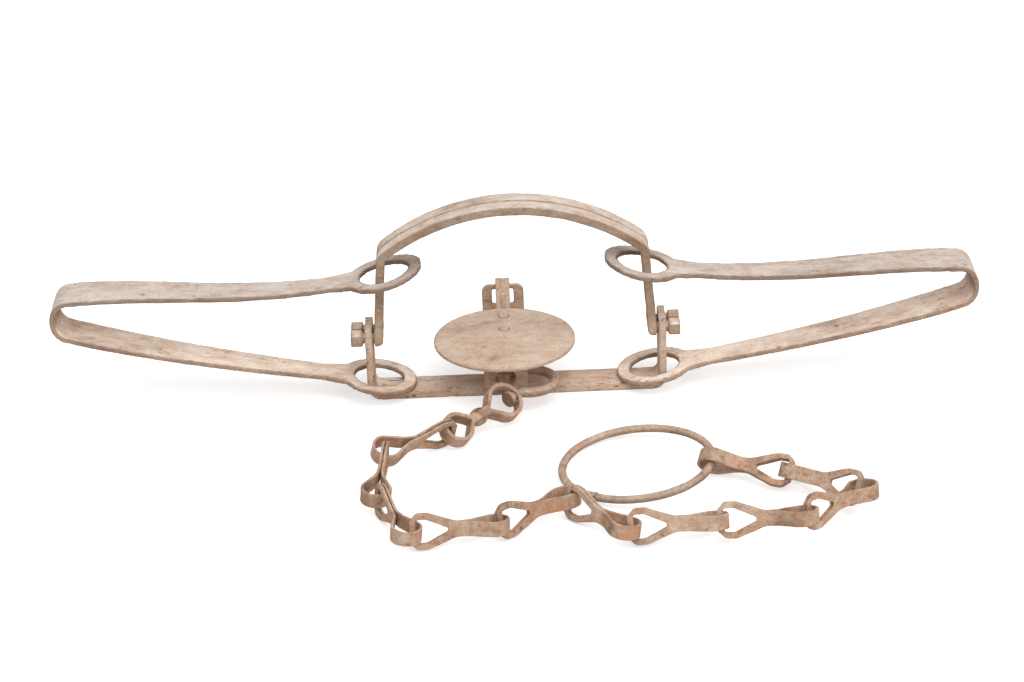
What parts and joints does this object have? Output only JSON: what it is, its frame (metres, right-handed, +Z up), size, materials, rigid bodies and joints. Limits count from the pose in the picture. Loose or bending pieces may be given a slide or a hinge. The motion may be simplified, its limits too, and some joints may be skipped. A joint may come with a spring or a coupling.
{
  "type": "leghold trap",
  "caption": "Double long-spring leghold trap with hinged arched jaws, round pan, dog, swivel and a flat-strip chain that ends in a rod ring.",
  "frame": {"origin": "middle of the base bar's underside, on the ground", "axes": "+X along the base bar and the springs, +Y towards the dog post, +Z up"},
  "size_m": [0.456, 0.26, 0.1014],
  "materials": {
    "forged_bar": "rusted, matte, pitted",
    "spring_strip": "rusted, matte, pitted",
    "pan_sheet": "rusted, matte, pitted",
    "trigger_strip": "rusted, matte, pitted",
    "rivet_iron": "rusted, matte, pitted",
    "rod_iron": "rusted, matte, pitted",
    "chain_strip": "rusted, matte, pitted"
  },
  "bodies": {
    "base": {"base_bar": "forged_bar", "cross_piece": "forged_bar", "base_rivet": "rivet_iron", "pan_post": "forged_bar", "pan_post_rivet": "rivet_iron", "pan_pin": "rivet_iron"},
    "front_jaw": {"front_jaw": "forged_bar"},
    "rear_jaw": {"rear_jaw": "forged_bar"},
    "left_spring": {"left_spring_lower": "spring_strip"},
    "left_spring_upper": {"left_spring_upper": "spring_strip"},
    "right_spring": {"right_spring_lower": "spring_strip"},
    "right_spring_upper": {"right_spring_upper": "spring_strip"},
    "dog": {"dog": "trigger_strip"},
    "pan": {"pan": "pan_sheet", "pan_shank": "trigger_strip", "pan_rivets": "rivet_iron"},
    "swivel_eye": {"swivel_eye": "rod_iron"},
    "swivel_bow": {"swivel_bow": "chain_strip", "swivel_rivet": "rivet_iron"},
    "link_01": {"link_01": "chain_strip"},
    "link_02": {"link_02": "chain_strip"},
    "link_03": {"link_03": "chain_strip"},
    "link_04": {"link_04": "chain_strip"},
    "link_05": {"link_05": "chain_strip"},
    "link_06": {"link_06": "chain_strip"},
    "link_07": {"link_07": "chain_strip"},
    "link_08": {"link_08": "chain_strip"},
    "link_09": {"link_09": "chain_strip"},
    "link_10": {"link_10": "chain_strip"},
    "link_11": {"link_11": "chain_strip"},
    "end_ring": {"end_ring": "rod_iron"}
  },
  "joints": [
    {"name": "front_jaw_swing", "type": "hinge", "parent": "base", "child": "front_jaw", "pos_m": [0, -0.0047, 0.0325], "axis": [1, 0, 0], "range_deg": [0, 90]},
    {"name": "rear_jaw_swing", "type": "hinge", "parent": "base", "child": "rear_jaw", "pos_m": [0, 0.0047, 0.0325], "axis": [-1, 0, 0], "range_deg": [0, 90]},
    {"name": "left_spring_swivel", "type": "hinge", "parent": "base", "child": "left_spring", "pos_m": [-0.0687, 0, 0.004], "axis": [0, 0, 1], "range_deg": [-20, 20]},
    {"name": "left_spring_press", "type": "hinge", "parent": "left_spring", "child": "left_spring_upper", "pos_m": [-0.2182, 0, 0.049], "axis": [0, 1, 0], "range_deg": [0, 19.01], "stiffness_Nm_per_rad": 20, "deforming": ["left_spring_upper"]},
    {"name": "right_spring_swivel", "type": "hinge", "parent": "base", "child": "right_spring", "pos_m": [0.0687, 0, 0.004], "axis": [0, 0, 1], "range_deg": [-20, 20]},
    {"name": "right_spring_press", "type": "hinge", "parent": "right_spring", "child": "right_spring_upper", "pos_m": [0.2182, 0, 0.049], "axis": [0, -1, 0], "range_deg": [0, 19.01], "stiffness_Nm_per_rad": 20, "deforming": ["right_spring_upper"]},
    {"name": "dog_swing", "type": "hinge", "parent": "base", "child": "dog", "pos_m": [-0.0055, 0.078, 0.0198], "axis": [-1, 0, 0], "range_deg": [0, 150]},
    {"name": "pan_tilt", "type": "hinge", "parent": "base", "child": "pan", "pos_m": [-0.0055, 0.025, 0.0135], "axis": [-1, 0, 0], "range_deg": [0, 6]},
    {"name": "swivel_eye_lift", "type": "hinge", "parent": "base", "child": "swivel_eye", "pos_m": [-0.0055, -0.0108, 0.011], "axis": [0, -1, 0], "range_deg": [0, 10]},
    {"name": "swivel_turn", "type": "hinge", "parent": "swivel_eye", "child": "swivel_bow", "pos_m": [0.00155, -0.02783, 0.011], "axis": [-0.6939, -0.7185, -0.0471], "range_deg": [-40, 40]},
    {"name": "link_01_swing", "type": "hinge", "parent": "swivel_bow", "child": "link_01", "pos_m": [-0.03036, -0.06088, 0.00883], "axis": [0.4373, -0.4725, 0.7652], "range_deg": [-40, 40]},
    {"name": "link_02_swing", "type": "hinge", "parent": "link_01", "child": "link_02", "pos_m": [-0.06363, -0.08248, 0.01022], "axis": [-0.2225, 0.2828, -0.933], "range_deg": [-20, 40]},
    {"name": "link_03_swing", "type": "hinge", "parent": "link_02", "child": "link_03", "pos_m": [-0.06775, -0.12171, 0.00884], "axis": [0.1003, -0.0454, 0.9939], "range_deg": [-40, 15]},
    {"name": "link_04_swing", "type": "hinge", "parent": "link_03", "child": "link_04", "pos_m": [-0.05335, -0.15922, 0.00884], "axis": [-0.1138, -0.0437, -0.9925], "range_deg": [-15, 40]},
    {"name": "link_05_swing", "type": "hinge", "parent": "link_04", "child": "link_05", "pos_m": [-0.01368, -0.15575, 0.00884], "axis": [-0.0196, 0.2241, 0.9744], "range_deg": [-40, 20]},
    {"name": "link_06_swing", "type": "hinge", "parent": "link_05", "child": "link_06", "pos_m": [0.01916, -0.13275, 0.00884], "axis": [0.1094, -0.1563, -0.9816], "range_deg": [-40, 40]},
    {"name": "link_07_swing", "type": "hinge", "parent": "link_06", "child": "link_07", "pos_m": [0.04511, -0.1626, 0.00884], "axis": [0.1569, 0.1364, 0.9781], "range_deg": [-40, 8]},
    {"name": "link_08_swing", "type": "hinge", "parent": "link_07", "child": "link_08", "pos_m": [0.08454, -0.16328, 0.01091], "axis": [0.0438, -0.3264, -0.9442], "range_deg": [-5, 40]},
    {"name": "link_09_swing", "type": "hinge", "parent": "link_08", "child": "link_09", "pos_m": [0.12427, -0.16958, 0.01513], "axis": [-0.0561, 0.288, 0.956], "range_deg": [-40, 3]},
    {"name": "link_10_swing", "type": "hinge", "parent": "link_09", "child": "link_10", "pos_m": [0.15447, -0.14332, 0.01234], "axis": [0.0621, -0.1761, -0.9824], "range_deg": [-3, 40]},
    {"name": "link_11_swing", "type": "hinge", "parent": "link_10", "child": "link_11", "pos_m": [0.12626, -0.11607, 0.00821], "axis": [0.2822, 0.4226, 0.8613], "range_deg": [-40, 5]},
    {"name": "end_ring_swing", "type": "hinge", "parent": "link_11", "child": "end_ring", "pos_m": [0.08994, -0.1014, 0.00821], "axis": [-0.3142, -0.7776, -0.5446], "range_deg": [-40, 40]}
  ],
  "couplings": [
    {"joint": "rear_jaw_swing", "follows": "front_jaw_swing", "ratio": 1},
    {"joint": "left_spring_press", "follows": "front_jaw_swing", "ratio": 0.21111},
    {"joint": "right_spring_press", "follows": "front_jaw_swing", "ratio": 0.21111}
  ]
}
